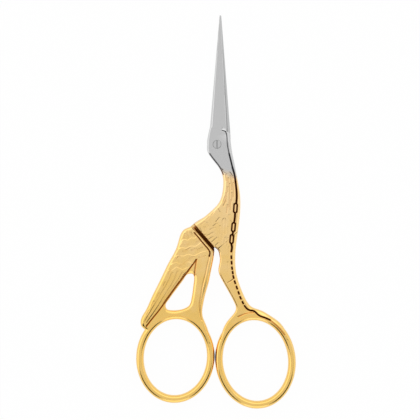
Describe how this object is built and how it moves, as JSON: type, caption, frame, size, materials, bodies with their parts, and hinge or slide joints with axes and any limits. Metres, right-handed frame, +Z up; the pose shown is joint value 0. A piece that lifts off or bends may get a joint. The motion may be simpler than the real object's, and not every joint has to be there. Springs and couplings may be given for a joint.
{
  "type": "stork embroidery scissors",
  "caption": "Small embroidery scissors shaped as a standing stork, with polished steel blades for its beak, a gold plated bird body and oval finger bows.",
  "frame": {"origin": "on the table under the middle of the closed scissors", "axes": "+Y towards the points, +X to the right as seen from the front face, +Z up out of the table through the thickness"},
  "size_m": [0.0468, 0.1152, 0.004],
  "materials": {
    "polished_steel": "nickel plated and polished",
    "gold_plate": "gold plated, engraved and polished",
    "screw_steel": "turned and polished flush"
  },
  "bodies": {
    "back_half": {"back_blade": "polished_steel", "back_handle": "gold_plate", "pivot_screw": "screw_steel"},
    "front_half": {"front_blade": "polished_steel", "front_handle": "gold_plate"}
  },
  "joints": [
    {"name": "pivot", "type": "hinge", "parent": "back_half", "child": "front_half", "pos_m": [0.0003, 0.01967, 0.002], "axis": [0, 0, 1], "range_deg": [0, 85]}
  ]
}
